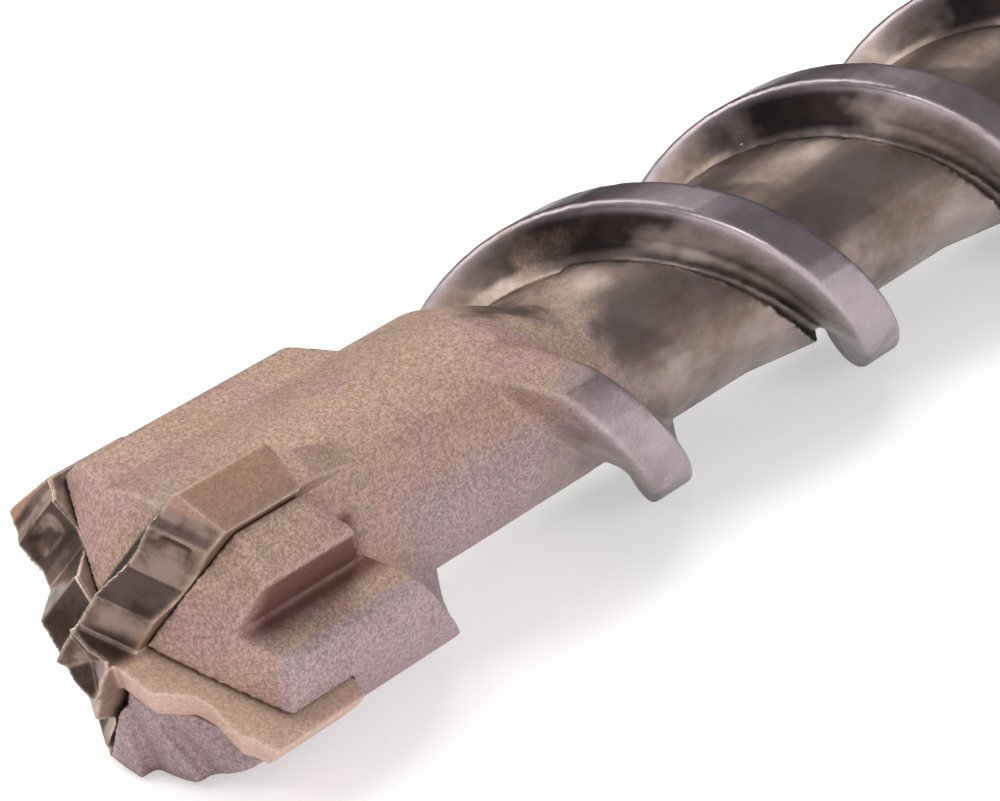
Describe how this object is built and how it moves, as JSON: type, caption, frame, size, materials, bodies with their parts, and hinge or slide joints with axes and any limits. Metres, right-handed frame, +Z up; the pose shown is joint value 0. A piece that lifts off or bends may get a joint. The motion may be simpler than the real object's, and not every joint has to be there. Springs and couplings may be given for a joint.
{
  "type": "masonry drill bit",
  "caption": "Masonry drill bit with a winged steel head, cross-shaped carbide insert, right-hand double-start helix and slotted hammer-drill shank.",
  "frame": {"origin": "on the drill axis at the end of the stretch of shank that goes into the chuck", "axes": "+X along the drill axis towards the tip, +Z up with the bit lying as it rests"},
  "size_m": [0.32, 0.0302, 0.0302],
  "materials": {
    "forged_steel": "sandblasted bronze-tan head and neck, dark oiled helix with worn bright flange edges",
    "carbide": "sintered grey-brown carbide, semi-gloss"
  },
  "bodies": {
    "root": {"drill_body": "forged_steel", "cross_insert": "carbide"}
  },
  "joints": []
}
